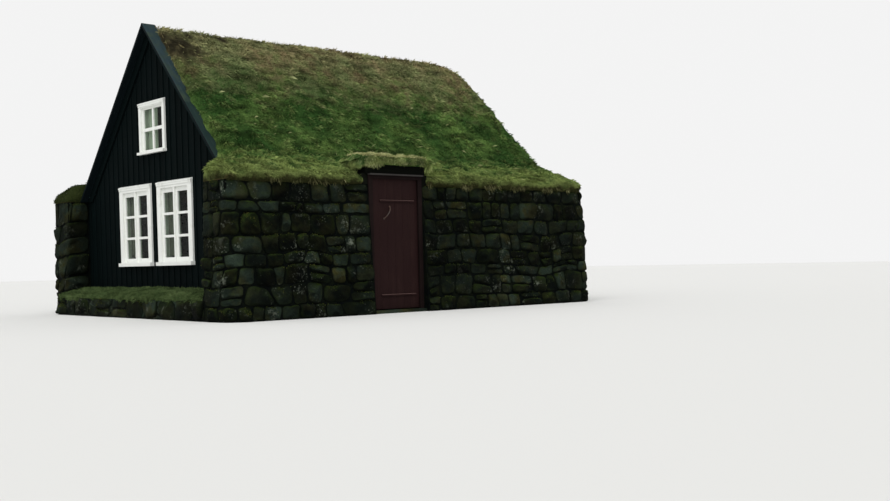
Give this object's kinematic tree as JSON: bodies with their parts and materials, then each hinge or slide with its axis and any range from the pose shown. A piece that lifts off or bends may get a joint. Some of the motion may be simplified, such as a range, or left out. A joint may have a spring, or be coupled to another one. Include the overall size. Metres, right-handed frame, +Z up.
{
  "type": "turf farmhouse",
  "caption": "Small gabled farmhouse with thick dry-stone walls, a tarred board gable with white windows, a plank door in the side wall and a grass-covered turf roof.",
  "frame": {"origin": "on the ground, at the middle of the walls' outline", "axes": "+Z up, the board gable faces -Y, the side door is in the wall on the +X side"},
  "size_m": [5.4, 6.1, 3.8523],
  "materials": {
    "stone_wall": "rough field stones with moss and lichen",
    "turf": "grass-covered earth turf",
    "tarred_boards": "tarred boards and battens, matt",
    "weathered_timber": "grey weathered timber",
    "bare_timber": "bare sawn timber",
    "verge_paint": "worn bluish grey paint",
    "white_paint": "white oil paint, satin",
    "window_glass": "thin clear window glass",
    "net_curtain": "pleated net cloth",
    "door_paint": "worn dark red-brown paint",
    "old_beams": "dark weathered beams",
    "flagstone": "worn flat stones",
    "wrought_iron": "dull forged iron with rust"
  },
  "bodies": {
    "house": {"right_wall_front": "stone_wall", "right_wall_rear": "stone_wall", "left_wall": "stone_wall", "rear_wall": "stone_wall", "rear_gable_turf": "turf", "front_ledge": "stone_wall", "front_ledge_turf": "turf", "gable_boards": "tarred_boards", "gable_sill_beam": "weathered_timber", "gable_posts": "weathered_timber", "gable_rails": "weathered_timber", "gable_rafters": "weathered_timber", "wall_plates": "bare_timber", "tie_beams": "bare_timber", "rafters": "bare_timber", "ridge_board": "bare_timber", "sarking_right": "bare_timber", "sarking_left": "bare_timber", "roof_turf_right": "turf", "roof_turf_left": "turf", "verge_cap_right": "verge_paint", "verge_cap_left": "verge_paint", "barge_board_right": "tarred_boards", "barge_board_left": "tarred_boards", "floor_sleepers": "bare_timber", "floor_boards": "bare_timber", "loft_floor": "bare_timber", "left_window_casing": "white_paint", "right_window_casing": "white_paint", "upper_window_casing": "white_paint", "left_window_sashes": "white_paint", "right_window_sashes": "white_paint", "upper_window_sash": "white_paint", "window_glass": "window_glass", "curtains": "net_curtain", "door_frame": "door_paint", "door_head_beams": "old_beams", "passage_timbers": "old_beams", "door_drip_board": "weathered_timber", "door_hood_turf": "turf", "passage_flagstones": "flagstone", "door_pintles": "wrought_iron"},
    "door": {"door_leaf": "door_paint", "door_pull": "wrought_iron", "door_straps": "wrought_iron"}
  },
  "joints": [
    {"name": "door_hinge", "type": "hinge", "parent": "house", "child": "door", "pos_m": [2.521, -0.1785, 0.9], "axis": [0, 0, -1], "range_deg": [0, 90]}
  ]
}
